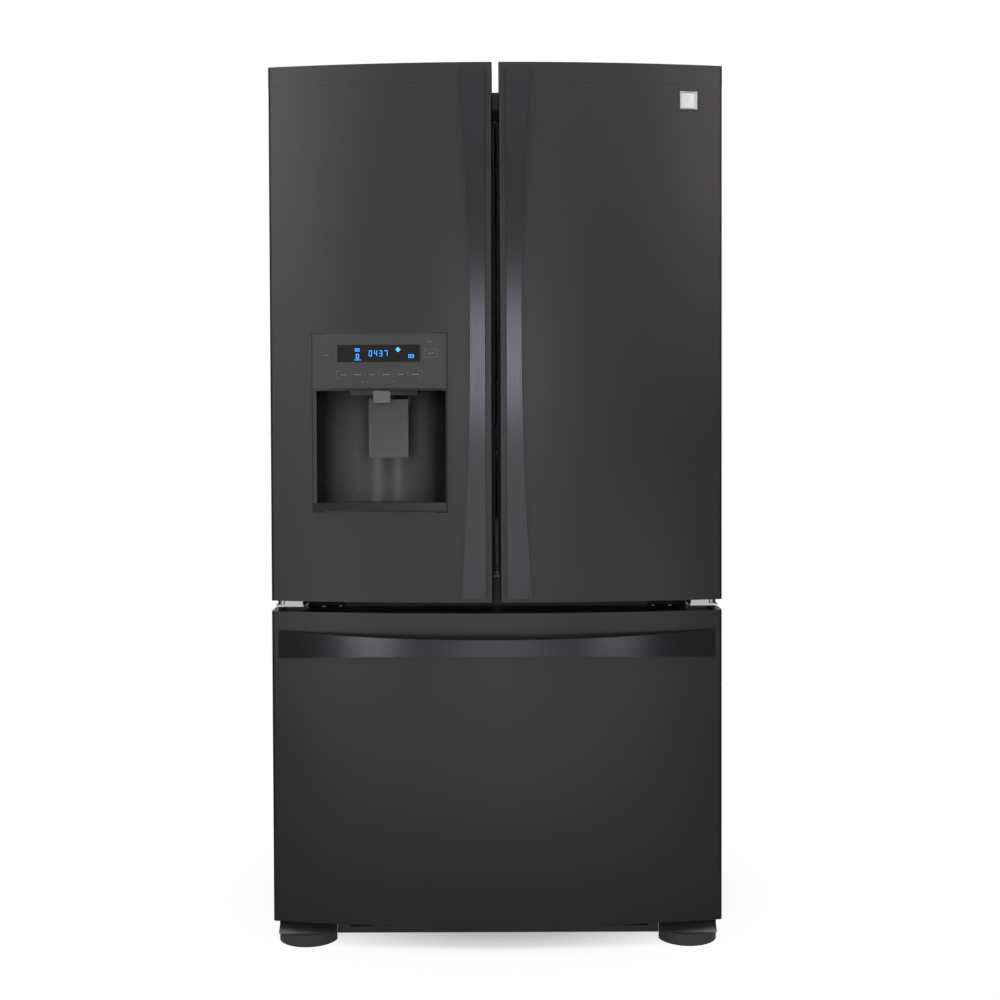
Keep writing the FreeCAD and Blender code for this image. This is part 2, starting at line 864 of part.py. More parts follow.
piece("dispenser_paddle", fuse(
    cut(
        box((chute_x - 40, chute_x + 40), (paddle_y - 3, paddle_y + 2), (paddle_low, paddle_top + 4)),
        box((chute_x - 30, chute_x + 30), (paddle_y - 4, paddle_y - 1.6), (1000, 1040)),
    ),
    rod((chute_x - 44, paddle_y, paddle_top), paddle_axle, 88, "x"),
))
piece("ice_chute_flap", fuse(
    rod((chute_x, chute_y - 1, lintel + 1), 21, 3),
    rod((chute_x - 20, chute_y + 22, lintel + 3.5), 2.4, 40, "x"),
))
tray_gap = 0.6
piece("drip_tray", cut(
    common(
        rod((station_x, alcove_axis, dispenser_bottom + recess_wall + 0.2),
            alcove_radius - tray_gap, 16),
        box((dispenser_left + recess_wall + 0.6, dispenser_right - recess_wall - 0.6),
            (-402, recess_back), (dispenser_bottom, dispenser_bottom + 40)),
    ),
    *[box((station_x - 70, station_x + 70), (-392 + 9 * slot, -387 + 9 * slot),
          (dispenser_bottom + 12, dispenser_bottom + 30)) for slot in range(6)],
))
piece("ice_box", fuse(
    tub((bin_left, bin_right), (door_back + 0.4, case_front + 138), (1128, 1652), 4, "-y"),
    box((bin_right - 36, bin_right - 16), (case_front + 137, case_front + 146), (1340, 1440)),
))
piece("left_door_bins", group(door_bin(790, 872), door_bin(950, 1032)))

# Handles: blades that bow out from the door and narrow towards the middle
handle_bottom = cell("handle_bottom")
handle_top = cell("handle_top")
handle_inner = cell("handle_inner")
handle_end = cell("handle_end")
blade = cell("handle_thickness")
blade_bow = cell("handle_bow")


def arc_radius(half_chord, sag):
    return (half_chord * half_chord + sag * sag) / (sag * 2)


handle_half = (handle_top - handle_bottom) / 2
blade_radius = arc_radius(handle_half, blade_bow)
blade_tip = -cell("overall_depth") / 2 + blade_bow
waist_radius = arc_radius(handle_half, handle_end - cell("handle_waist"))
bowed = prism("YZ_Plane", [
    (blade_tip, handle_top, blade_radius),
    (blade_tip, handle_bottom, None),
    (blade_tip + blade, handle_bottom, -(blade_radius - blade)),
    (blade_tip + blade, handle_top, None),
], -handle_end, -handle_inner)
waist = prism("XZ_Plane", [
    (-handle_end, handle_bottom, waist_radius),
    (-handle_end, handle_top, None),
    (-handle_end - 20, handle_top, None),
    (-handle_end - 20, handle_bottom, None),
], -460, -400)
blade_body = cut(bowed, waist)
foot_height = 52
handle_feet = [
    box((-handle_end + 8, -handle_inner - 6), (blade_tip + blade - 4, door_front + 3),
        (low, low + foot_height))
    for low in (handle_bottom + 2, handle_top - foot_height - 2)
]
left_handle = cut(
    fuse(blade_body, *handle_feet),
    door_block(lip, door_back, door_bottom, skin_low),
    door_block(lip, door_back, skin_low, skin_high),
    door_block(0, door_back, skin_high, door_top),
)
piece("left_handle", left_handle)

# Right door
piece("right_door_skin", mirrored(door_skin()))
piece("right_door_caps", mirrored(door_caps()))
piece("right_door_foam", mirrored(door_foam()))
piece("right_door_liner", mirrored(group(*door_liner())))
piece("right_gasket", mirrored(fuse(
    seal(seal_left, seal_right, seal_low, seal_high),
    box((mullion_left, mullion_right), (seal_face - 0.5, case_front + 20), (mullion_low, mullion_high)),
)))
piece("right_handle", mirrored(left_handle))
badge_x = size(385)
badge_z = size(1694)
badge_half = 17.5
badge_stand = 2
piece("badge", fascia(badge_stand, badge_stand, badge_x - badge_half, badge_x + badge_half,
                      badge_z - badge_half, badge_z + badge_half))
dairy_low = size(1470)
dairy_high = size(1572)
dairy_front = case_front + 96
lid_axle = 2
dairy_case = cut(
    box((bin_left, bin_right), (door_back + 0.5, dairy_front), (dairy_low, dairy_high)),
    box((bin_left + plastic, bin_right - plastic), (door_back + 3, dairy_front + 5),
        (dairy_low + plastic, dairy_high - plastic)),
)
dairy_tabs = [
    cut(
        box((end, end + 4), (dairy_front - 1, dairy_front + 10), (dairy_high - 12, dairy_high)),
        rod((end - 2, dairy_front + 5, dairy_high - 6), lid_axle + 0.06, 8, "x"),
    )
    for end in (bin_left, bin_right - 4)
]
piece("right_door_bins", mirrored(group(
    door_bin(790, 880), door_bin(985, 1075), door_bin(1225, 1315), fuse(dairy_case, *dairy_tabs))))
piece("dairy_lid", mirrored(fuse(
    box((bin_left + 6, bin_right - 6), (dairy_front + 3.4, dairy_front + 6.6),
        (dairy_low + 3, dairy_high - 6)),
    rod((bin_left + 0.6, dairy_front + 5, dairy_high - 6), lid_axle, bin_right - bin_left - 1.2, "x"),
)))

# Freezer drawer
drawer_low = cell("drawer_bottom")
drawer_high = cell("drawer_top")
drawer_back = door_back - plastic


def drawer_block(inset, rear, low, high):
    side = half_width - lip - inset
    block = slab(-side, side, lip + inset, rear, low, high)
    edge = front_at(side, lip + inset).number
    rounded(block, 7 - inset, -side.number, edge)
    return rounded(block, 7 - inset, side.number, edge)


piece("drawer_skin", cut(
    drawer_block(0, drawer_back, drawer_low, drawer_high),
    drawer_block(sheet_gauge, door_back + 5, drawer_low + sheet_gauge, drawer_high - sheet_gauge),
))
piece("drawer_foam", drawer_block(sheet_gauge, drawer_back, drawer_low + sheet_gauge,
                                  drawer_high - sheet_gauge))
bracket_low = size(352)
rail_low = size(366)
rail_high = size(396)
rail_outer = cavity_half - plastic - 0.4
piece("drawer_liner", fuse(
    box(both_sides(half_width - 4), (drawer_back, door_back), (drawer_low + 4, drawer_high - 4)),
    cut(
        box(both_sides(368), (door_back - 1, case_front + 20), (120, 610)),
        box(both_sides(354), (door_back - 2, case_front + 21), (134, 596)),
    ),
))
piece("drawer_gasket", seal(-435, 435, 70, 650))
drawer_handle_half = size(438)
drawer_tip = size(-387)
drawer_crown = -back
strip_radius = arc_radius(drawer_handle_half, drawer_tip - drawer_crown)
strip_low = size(584)
strip_high = size(638)
strip_pinch_top = 10
strip_pinch_bottom = 12
strip = prism("XY_Plane", [
    (-drawer_handle_half, drawer_tip, strip_radius),
    (drawer_handle_half, drawer_tip, None),
    (drawer_handle_half, drawer_tip + blade, -(strip_radius - blade)),
    (-drawer_handle_half, drawer_tip + blade, None),
], strip_low, strip_high)
pinches = [
    prism("XZ_Plane", [
        (-drawer_handle_half, strip_high, arc_radius(drawer_handle_half, size(strip_pinch_top))),
        (drawer_handle_half, strip_high, None),
        (drawer_handle_half, strip_high + 20, None),
        (-drawer_handle_half, strip_high + 20, None),
    ], -470, -370),
    prism("XZ_Plane", [
        (drawer_handle_half, strip_low, arc_radius(drawer_handle_half, size(strip_pinch_bottom))),
        (-drawer_handle_half, strip_low, None),
        (-drawer_handle_half, strip_low - 20, None),
        (drawer_handle_half, strip_low - 20, None),
    ], -470, -370),
]
strip_foot_x = 418
strip_foot_half = 13
strip_feet = [
    box((side * strip_foot_x - strip_foot_half, side * strip_foot_x + strip_foot_half),
        (drawer_tip + 1, front_at(strip_foot_x, lip) + 3), (strip_low + 7, strip_high - 7))
    for side in (-1, 1)
]
piece("drawer_handle", cut(
    fuse(cut(strip, *pinches), *strip_feet),
    drawer_block(0, drawer_back, drawer_low, drawer_high),
))
rail_near = case_front + 10
fixed_rail = cut(
    box((rail_outer - 12, rail_outer), (rail_near, 190), (rail_low - 6, rail_high + 6)),
    box((rail_outer - 14, rail_outer - 3), (rail_near - 1, 191), (rail_low - 3, rail_high + 3)),
)
tray_rail_top = 430
tray_rail = box((rail_outer - 14, rail_outer), (rail_near + 30, 260),
                (tray_rail_top - 6, tray_rail_top))
piece("cabinet_rails", group(fixed_rail, tray_rail, mirrored(fixed_rail), mirrored(tray_rail)))
middle_rail = cut(
    box((rail_outer - 15, rail_outer - 3.6), (rail_near + 4, 170), (rail_low - 2.4, rail_high + 2.4)),
    box((rail_outer - 17, rail_outer - 6), (rail_near + 3, 171), (rail_low + 1, rail_high - 1)),
)
piece("middle_rails", group(middle_rail, mirrored(middle_rail)))
moving_rail = fuse(
    box((rail_outer - 17, rail_outer - 6.6), (rail_near + 4, 150), (rail_low + 1.6, rail_high - 1.6)),
    box((rail_outer - 22, rail_outer - 17), (door_back, 150), (bracket_low, rail_high)),
)
piece("drawer_rails", group(moving_rail, mirrored(moving_rail)))
basket_half = rail_outer - 23
piece("freezer_basket", fuse(
    tub(both_sides(basket_half - 12), (case_front + 24, 176), (108, bracket_low), 3, "+z"),
    cut(
        box(both_sides(basket_half), (case_front + 24, 176), (bracket_low - 4, bracket_low)),
        box(both_sides(basket_half - 14), (case_front + 26, 174), (bracket_low - 5, bracket_low + 1)),
    ),
))
piece("freezer_tray", fuse(
    tub(both_sides(376), (case_front + 34, 282), (412, 556), 3, "+z"),
    cut(
        box(both_sides(rail_outer - 1), (case_front + 34, 282), (tray_rail_top + 0.4, 434)),
        box(both_sides(374), (case_front + 30, 286), (430, 435)),
    ),
))

doc.recompute()
for thing in doc.Objects:
    broken = {"Invalid", "Error"} & set(thing.State)
    if broken:
        raise RuntimeError(f"{thing.Name} ({thing.Label}) is {broken}")
for name, solid in PIECES.items():
    if solid.Shape.isNull() or not solid.Shape.isValid():
        raise RuntimeError(f"{name} has no valid shape")

os.makedirs("parts", exist_ok=True)
for name, solid in PIECES.items():
    solid.Shape.exportStep(f"parts/{name}.step")
    print(name, len(solid.Shape.Solids), round(solid.Shape.Volume / 1e6, 3))
print(len(PIECES), "pieces")
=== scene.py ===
"""Looks of the french door refrigerator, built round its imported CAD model."""
import math
import bpy
from mathutils import Matrix, Vector


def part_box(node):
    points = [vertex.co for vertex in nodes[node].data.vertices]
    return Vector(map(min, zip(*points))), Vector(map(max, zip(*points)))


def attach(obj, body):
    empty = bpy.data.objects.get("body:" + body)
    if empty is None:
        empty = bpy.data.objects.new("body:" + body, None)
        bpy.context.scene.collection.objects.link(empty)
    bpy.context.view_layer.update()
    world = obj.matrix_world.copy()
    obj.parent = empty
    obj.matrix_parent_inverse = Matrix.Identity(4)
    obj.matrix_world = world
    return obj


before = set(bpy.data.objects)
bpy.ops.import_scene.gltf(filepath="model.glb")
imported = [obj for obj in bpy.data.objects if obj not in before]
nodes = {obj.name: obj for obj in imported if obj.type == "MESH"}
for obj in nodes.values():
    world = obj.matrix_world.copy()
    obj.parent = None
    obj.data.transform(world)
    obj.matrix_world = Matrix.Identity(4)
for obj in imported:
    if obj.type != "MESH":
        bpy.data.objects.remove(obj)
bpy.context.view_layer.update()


scene = bpy.context.scene

# ---------------------------------------------------------------- shared sizes
BOW = 0.042
HALF_WIDTH = 0.454
BOW_RADIUS = (HALF_WIDTH ** 2 + BOW ** 2) / (2 * BOW)
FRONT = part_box("left_door_caps")[0][1]


def bow_y(x, proud=0.0):
    """Depth of the bowed door front at x, moved out by proud."""
    radius = BOW_RADIUS + proud
    return FRONT + BOW_RADIUS - math.sqrt(radius ** 2 - x ** 2)


# ---------------------------------------------------------------- node helpers
def add_node(tree, kind, **values):
    """A new node, with each value set on the socket or the property of that name."""
    made = tree.nodes.new(kind)
    for key, value in values.items():
        if key in made.inputs:
            made.inputs[key].default_value = value
        else:
            setattr(made, key, value)
    return made


def remap(tree, source, given, wanted=(0.0, 1.0), smooth=False):
    """The output of a node that takes the given range to the wanted one."""
    ramp = tree.nodes.new("ShaderNodeMapRange")
    if smooth:
        ramp.interpolation_type = "SMOOTHSTEP"
    ramp.inputs["From Min"].default_value, ramp.inputs["From Max"].default_value = given
    ramp.inputs["To Min"].default_value, ramp.inputs["To Max"].default_value = wanted
    tree.links.new(source, ramp.inputs["Value"])
    return ramp.outputs["Result"]


def size_along(tree, place, axis):
    """The distance from the middle along one axis."""
    parts = tree.nodes.new("ShaderNodeSeparateXYZ")
    tree.links.new(place, parts.inputs["Vector"])
    size = add_node(tree, "ShaderNodeMath", operation="ABSOLUTE")
    tree.links.new(parts.outputs[axis], size.inputs[0])
    return size.outputs["Value"]


def product(tree, first, second):
    times = add_node(tree, "ShaderNodeMath", operation="MULTIPLY")
    tree.links.new(first, times.inputs[0])
    tree.links.new(second, times.inputs[1])
    return times.outputs["Value"]


def mixed_shader(tree, share, first, second):
    mix = tree.nodes.new("ShaderNodeMixShader")
    tree.links.new(share, mix.inputs["Fac"])
    tree.links.new(first, mix.inputs[1])
    tree.links.new(second, mix.inputs[2])
    return mix.outputs["Shader"]


# ------------------------------------------------------------------- materials
NOISE_RANGE = (0.25, 0.75)


class Paint:
    """A node material on the Principled shader, with helpers for procedural detail."""

    def __init__(self, name, color, roughness, metallic=0.0, **settings):
        self.material = bpy.data.materials.new(name)
        self.material.use_nodes = True
        self.tree = self.material.node_tree
        self.shader = self.tree.nodes["Principled BSDF"]
        self.shader.inputs["Base Color"].default_value = (*color, 1.0)
        self.shader.inputs["Roughness"].default_value = roughness
        self.shader.inputs["Metallic"].default_value = metallic
        for socket, value in settings.items():
            self.shader.inputs[socket].default_value = value
        self.color = color
        self.roughness = roughness
        self.place = self.tree.nodes.new("ShaderNodeTexCoord").outputs["Object"]
        self.height = None

    def node(self, kind, **values):
        return add_node(self.tree, kind, **values)

    def link(self, source, target):
        self.tree.links.new(source, target)

    def noise(self, scale, stretch=(1, 1, 1), detail=3.0):
        mapping = self.node("ShaderNodeMapping")
        mapping.inputs["Scale"].default_value = stretch
        self.link(self.place, mapping.inputs["Vector"])
        pattern = self.node("ShaderNodeTexNoise", Scale=scale, Detail=detail)
        self.link(mapping.outputs["Vector"], pattern.inputs["Vector"])
        return pattern.outputs["Fac"]

    def spread(self, source, low, high):
        return remap(self.tree, source, NOISE_RANGE, (low, high))

    def blend_color(self, share, near, far):
        """Base colour that goes from near to far as share goes from 0 to 1."""
        mix = self.node("ShaderNodeMix", data_type="RGBA")
        for socket in mix.inputs:
            if socket.type == "RGBA":
                socket.default_value = (*(far if socket.name == "B" else near), 1)
        self.link(share, mix.inputs["Factor"])
        tint = [socket for socket in mix.outputs if socket.type == "RGBA"][0]
        self.link(tint, self.shader.inputs["Base Color"])

    def vary_color(self, source, amount):
        """Colour drifts a little lighter and darker with the pattern."""
        darker = [value * (1 - amount) for value in self.color]
        lighter = [min(1, value * (1 + amount)) for value in self.color]
        self.blend_color(self.spread(source, 0, 1), darker, lighter)
        return self

    def vary_roughness(self, source, amount):
        low, high = self.roughness * (1 - amount), min(1, self.roughness * (1 + amount))
        self.link(self.spread(source, low, high), self.shader.inputs["Roughness"])
        return self

    def bump(self, source, distance, strength=1.0):
        relief = self.node("ShaderNodeBump", Distance=distance, Strength=strength)
        self.link(source, relief.inputs["Height"])
        if self.height is not None:
            self.link(self.height, relief.inputs["Normal"])
        self.height = relief.outputs["Normal"]
        self.link(self.height, self.shader.inputs["Normal"])
        return self


def brushed(name, color, roughness, grain=(1, 1, 90)):
    paint = Paint(name, color, roughness, 1.0)
    paint.vary_color(paint.noise(1.4, detail=2.0), 0.05)
    paint.vary_roughness(paint.noise(26, grain), 0.10)
    paint.bump(paint.noise(40, grain, 4.0), 0.00001, 0.2)
    return paint.material


def moulded(name, color, roughness, grain=900.0, depth=0.00003, **settings):
    paint = Paint(name, color, roughness, 0.0, **settings)
    paint.vary_color(paint.noise(6.0), 0.07)
    paint.vary_roughness(paint.noise(30.0), 0.12)
    paint.bump(paint.noise(grain, detail=2.0), depth, 0.5)
    return paint.material


def clear(name, color, roughness, share):
    """See-through plastic or glass, with light flow lines."""
    paint = Paint(name, color, roughness, 0.0, Alpha=share, IOR=1.49)
    paint.vary_roughness(paint.noise(8.0), 0.3)
    paint.bump(paint.noise(5.0), 0.0002, 0.3)
    return paint.material


def placed(name, axis, ends, near, far, roughness, metallic=0.0, **settings):
    """A colour that changes from near to far with the distance from the middle along one axis; it gives
    the two-tone centre hinges and the painted shade in the dispenser recess.
    """
    paint = Paint(name, far, roughness, metallic, **settings)
    paint.vary_roughness(paint.noise(26.0), 0.12)
    share = remap(paint.tree, size_along(paint.tree, paint.place, axis), ends)
    paint.blend_color(share, near, far)
    return paint.material


def glow(name, color, strength):
    paint = Paint(name, color, 0.4)
    paint.shader.inputs["Emission Color"].default_value = (*color, 1)
    paint.shader.inputs["Emission Strength"].default_value = strength
    paint.vary_roughness(paint.noise(50.0), 0.1)
    return paint.material


skin = brushed("black_stainless", (0.058, 0.0565, 0.056), 0.36)
handle_skin = brushed("handle_stainless", (0.060, 0.058, 0.062), 0.22, (0.4, 20, 20))
handle_upright = brushed("handle_stainless_upright", (0.060, 0.058, 0.062), 0.22, (20, 20, 0.4))
enamel = moulded("black_enamel", (0.030, 0.030, 0.031), 0.42, 420.0, 0.00025)
zinc = brushed("zinc_plate", (0.46, 0.46, 0.45), 0.38)
bright = placed("bright_hinge", "X", (0.389, 0.391), (0.02, 0.02, 0.021),
                (0.62, 0.62, 0.61), 0.25, 1.0)
black_plastic = moulded("black_plastic", (0.022, 0.022, 0.0225), 0.45)
liner_white = moulded("liner_white", (0.80, 0.81, 0.81), 0.30, 300.0, 0.00005)
foam_cream = moulded("foam_cream", (0.72, 0.62, 0.38), 0.85, 260.0, 0.0008)
rubber = moulded("seal_rubber", (0.030, 0.030, 0.031), 0.6)
bin_clear = clear("clear_bin", (0.86, 0.90, 0.92), 0.12, 0.32)
bin_frost = clear("frost_bin", (0.88, 0.91, 0.94), 0.25, 0.55)
shelf_glass = clear("shelf_glass", (0.78, 0.90, 0.86), 0.04, 0.28)
panel_plastic = moulded("panel_plastic", (0.024, 0.0235, 0.023), 0.42)
gloss_black = moulded("gloss_black", (0.012, 0.012, 0.0125), 0.14, 60.0, 0.00002)
# Painted shade: the recess plastic is lighter at the back and darkens toward its front rims, standing
# for the shade there.
recess_painted_shade = placed("recess_painted_shade", "Y", (0.328, 0.372), (0.050, 0.048, 0.046),
                        (0.004, 0.004, 0.004), 0.26)
# Near-black used as painted shade: the reveal gap round the station, the striker cover in the door gap
# and the backing behind the kick grille.
painted_shade_black = moulded("painted_shade_black", (0.002, 0.002, 0.002), 0.9)
paddle_plastic = moulded("paddle_plastic", (0.052, 0.050, 0.049), 0.33)
nozzle_plastic = moulded("nozzle_plastic", (0.005, 0.005, 0.005), 0.55)
collar_grey = moulded("collar_grey", (0.075, 0.073, 0.071), 0.30)
window = moulded("display_window", (0.006, 0.0055, 0.005), 0.08, 40.0, 0.00001)
icon_cyan = glow("icon_cyan", (0.045, 0.34, 1.0), 1.0)
legend = moulded("legend_grey", (0.11, 0.11, 0.11), 0.45)
filter_white = moulded("filter_white", (0.75, 0.78, 0.82), 0.3)
roller_grey = moulded("roller_grey", (0.10, 0.10, 0.10), 0.5)
compressor_black = moulded("compressor_black", (0.02, 0.02, 0.021), 0.25, 120.0, 0.0001)
fin_metal = brushed("fin_metal", (0.66, 0.66, 0.66), 0.42)
badge_silver = brushed("badge_silver", (0.60, 0.60, 0.61), 0.28)

FINISH = {
    skin: ["left_door_skin", "right_door_skin", "drawer_skin", "left_door_caps", "right_door_caps"],
    handle_upright: ["left_handle", "right_handle"],
    handle_skin: ["drawer_handle"],
    enamel: ["cabinet_shell", "top_hinges", "base_frame", "cabinet_rails"],
    zinc: ["back_panel", "middle_rails", "drawer_rails", "machine_cover", "hinge_screws",
           "levelling_feet"],
    bright: ["centre_hinges"],
    black_plastic: ["hinge_covers", "leg_covers", "base_grille", "power_inlet", "evaporator_fan",
                    "condenser_fan"],
    liner_white: ["fridge_liner", "freezer_liner", "left_door_liner", "right_door_liner",
                  "drawer_liner", "air_duct", "ice_box"],
    foam_cream: ["cabinet_foam", "left_door_foam", "right_door_foam", "drawer_foam"],
    rubber: ["left_gasket", "right_gasket", "drawer_gasket", "mullion_bar"],
    bin_clear: ["crisper_drawers", "left_door_bins", "right_door_bins", "dairy_lid"],
    bin_frost: ["freezer_basket", "freezer_tray"],
    shelf_glass: ["glass_shelves"],
    panel_plastic: ["dispenser_panel"],
    recess_painted_shade: ["dispenser_recess"],
    gloss_black: ["drip_tray", "ice_chute_flap"],
    nozzle_plastic: ["dispenser_nozzle"],
    paddle_plastic: ["dispenser_paddle"],
    window: ["display_window"],
    filter_white: ["water_filter"],
    roller_grey: ["rear_rollers"],
    compressor_black: ["compressor"],
    fin_metal: ["condenser", "evaporator"],
    badge_silver: ["badge"],
}
for material, names in FINISH.items():
    for name in names:
        slots = nodes[name].data.materials
        slots.clear()
        slots.append(material)

# Small rounds on the edges that a hand or the light meets
ROUNDED = {
    "left_handle": 0.0012, "right_handle": 0.0012, "drawer_handle": 0.0012,
    "dispenser_paddle": 0.0026, "leg_covers": 0.0015, "left_door_caps": 0.0012,
    "right_door_caps": 0.0012, "hinge_covers": 0.003, "badge": 0.0008, "drawer_skin": 0.0012,
    "crisper_drawers": 0.0008, "freezer_basket": 0.001, "freezer_tray": 0.001, "ice_box": 0.003,
    "compressor": 0.004, "glass_shelves": 0.0008, "centre_hinges": 0.0006,
}
for name, radius in ROUNDED.items():
    bevel = nodes[name].modifiers.new("edge_round", "BEVEL")
    bevel.width = radius
    bevel.segments = 3
    bevel.limit_method = "ANGLE"
    bevel.angle_limit = math.radians(38)
    bevel.harden_normals = False


# ---------------------------------------------------------------- mesh helpers
def mesh_piece(name, verts, faces, material, body):
    data = bpy.data.meshes.new(name)
    data.from_pydata(verts, [], faces)
    data.validate()
    data.materials.append(material)
    piece = bpy.data.objects.new(name, data)
    scene.collection.objects.link(piece)
    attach(piece, body)
    return piece


def joined(name, builds, material, body):
    """One piece from several (verts, faces) parts."""
    verts, faces = [], []
    for part_verts, part_faces in builds:
        start = len(verts)
        verts.extend(part_verts)
        faces.extend([tuple(index + start for index in face) for face in part_faces])
    return mesh_piece(name, verts, faces, material, body)


def prism(outline, low, high):
    """A closed solid from a flat outline in x and z, between two depths that may depend on x."""
    count = len(outline)
    verts = [(x, low(x), z) for x, z in outline] + [(x, high(x), z) for x, z in outline]
    faces = [tuple(range(count)), tuple(reversed(range(count, 2 * count)))]
    for index in range(count):
        following = (index + 1) % count
        faces.append((index, index + count, following + count, following))
    return verts, faces


def on_door(outline, proud, thick=0.0006):
    """A thin applied shape that stands proud of the bowed front by proud."""
    return prism(outline, lambda x: bow_y(x, proud), lambda x: bow_y(x, proud - thick))


def bar_outline(x0, x1, z0, z1):
    return [(x0, z0), (x1, z0), (x1, z1), (x0, z1)]


def round_outline(x0, x1, z0, z1, radius, steps=5):
    points = []
    corners = ((x1 - radius, z0 + radius, -90), (x1 - radius, z1 - radius, 0),
               (x0 + radius, z1 - radius, 90), (x0 + radius, z0 + radius, 180))
    for cx, cz, first in corners:
        for step in range(steps + 1):
            angle = math.radians(first + 90 * step / steps)
            points.append((cx + radius * math.cos(angle), cz + radius * math.sin(angle)))
    return points


def frame_lines(x0, x1, z0, z1, line, proud):
    """Four thin bars round a rectangle."""
    return [
        on_door(bar_outline(x0, x1, z0, z0 + line), proud),
        on_door(bar_outline(x0, x1, z1 - line, z1), proud),
        on_door(bar_outline(x0, x0 + line, z0, z1), proud),
        on_door(bar_outline(x1 - line, x1, z0, z1), proud),
    ]


def block(x0, x1, y0, y1, z0, z1):
    return prism(bar_outline(x0, x1, z0, z1), lambda x: y0, lambda x: y1)


def soften(piece, radius):
    """Small round on the edges of an applied piece."""
    bevel = piece.modifiers.new("edge_round", "BEVEL")
    bevel.width = radius
    bevel.segments = 2


# ------------------------------------------------------- ice and water station
panel_low, panel_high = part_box("dispenser_panel")
window_low, window_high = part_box("display_window")
PANEL_PROUD = 0.0011
LINE_PROUD = PANEL_PROUD + 0.0003
GLASS_PROUD = 0.0017
window_width = window_high[0] - window_low[0]
window_height = window_high[2] - window_low[2]


def panel_x(share):
    """A place across the panel, from 0 at its left edge to 1 at its right."""
    return panel_low[0] + share * (panel_high[0] - panel_low[0])


def window_x(share):
    return window_low[0] + share * window_width


def window_z(share):
    return window_low[2] + share * window_height


DIGITS = {"0": "abcdef", "3": "abgcd", "4": "fgbc", "7": "abc"}


def digit(symbol, x, z, width, height, stroke):
    """A seven-bar figure."""
    middle = z + height / 2
    bars = {
        "a": (x, x + width, z + height - stroke, z + height),
        "b": (x + width - stroke, x + width, middle, z + height),
        "c": (x + width - stroke, x + width, z, middle),
        "d": (x, x + width, z, z + stroke),
        "e": (x, x + stroke, z, middle),
        "f": (x, x + stroke, middle, z + height),
        "g": (x, x + width, middle - stroke / 2, middle + stroke / 2),
    }
    return [on_door(bar_outline(*bars[bar]), GLASS_PROUD) for bar in DIGITS[symbol]]


figure_height = 0.34 * window_height
figure_width = 0.52 * figure_height
figure_pitch = 1.75
figure_stroke = 0.0010
figures = []
for index, symbol in enumerate("0437"):
    left = window_x(0.385) + index * figure_width * figure_pitch
    figures += digit(symbol, left, window_z(0.33), figure_width, figure_height, figure_stroke)


def tracing(x, z, width, height, line):
    """The outline of a small block on the window."""
    return frame_lines(x, x + width, z, z + height, line, GLASS_PROUD)


water_drop = [
    on_door([(window_x(0.735), window_z(0.56)), (window_x(0.768), window_z(0.71)),
             (window_x(0.735), window_z(0.88)), (window_x(0.706), window_z(0.72))], GLASS_PROUD),
]
ice_left = window_x(0.215)
ice_line = 0.0009
icons = tracing(ice_left, window_z(0.62), 0.0040, 0.0060, ice_line)
icons += tracing(ice_left + 0.0052, window_z(0.62), 0.0040, 0.0060, ice_line)
icons += tracing(ice_left + 0.0020, window_z(0.20), 0.0060, 0.0090, 0.0012)
tray_line = bar_outline(ice_left - 0.0015, ice_left + 0.0120, window_z(0.10), window_z(0.10) + 0.0011)
icons.append(on_door(tray_line, GLASS_PROUD))
for share in (0.862, 0.900):
    icons += tracing(window_x(share), window_z(0.22), 0.0042, 0.0070, 0.0010)
joined("display_figures", figures + water_drop + icons, icon_cyan, "left_door")

# Outlined touch strip under the window, its divisions and marks
def mark(x0, x1, z0, z1):
    """A raised bar on the touch panel."""
    return on_door(bar_outline(x0, x1, z0, z1), LINE_PROUD)


KEYS = 6
LINE = 0.0006
strip_left, strip_right = window_x(-0.015), window_x(1.027)
strip_high = window_low[2] - 0.0175
strip_low = strip_high - 0.0150
strip_cell = (strip_right - strip_left) / KEYS
marks = frame_lines(strip_left, strip_right, strip_low, strip_high, LINE, LINE_PROUD)
for index in range(1, KEYS):
    x = strip_left + index * strip_cell
    rise = 0.0 if index == KEYS // 2 else 0.0035
    marks.append(mark(x - LINE / 2, x + LINE / 2, strip_low + rise, strip_high - rise))
for index in range(KEYS):
    middle = strip_left + (index + 0.5) * strip_cell
    half = 0.0075 if index % 2 else 0.0050
    marks.append(mark(middle - half, middle + half, strip_low + 0.0062, strip_low + 0.0082))
key_left, key_right = window_high[0] + 0.009, window_high[0] + 0.0345
key_low, key_high = window_low[2] + 0.0085, window_low[2] + 0.0245
marks += frame_lines(key_left, key_right, key_low, key_high, LINE, LINE_PROUD)
marks.append(mark(key_left + 0.006, key_right - 0.006, key_low + 0.0068, key_low + 0.0088))
for share in (0.30, 0.36, 0.62, 0.68):
    x = window_x(share)
    dot = round_outline(x, x + 0.0022, strip_low - 0.0085, strip_low - 0.0063, 0.0008)
    marks.append(on_door(dot, LINE_PROUD))
marks.append(mark(key_left + 0.004, key_right - 0.010, key_high + 0.014, key_high + 0.0155))
marks.append(mark(panel_x(0.085), panel_x(0.125), key_low + 0.0045, key_low + 0.0057))
joined("panel_marks", marks, legend, "left_door")

# Light collar block that hangs in front of the ice and water nozzle
nozzle_low, nozzle_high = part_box("dispenser_nozzle")
collar_left = 0.5 * (nozzle_low[0] + nozzle_high[0]) - 0.021
collar_low = nozzle_high[2] - 0.0245
collar_near = nozzle_low[1] - 0.0010
collar_outline = round_outline(collar_left, collar_left + 0.034, collar_low,
                               nozzle_high[2] - 0.0004, 0.002)
collar_solid = prism(collar_outline, lambda x: collar_near, lambda x: collar_near + 0.012)
collar = joined("chute_collar", [collar_solid], collar_grey, "left_door")
soften(collar, 0.0008)

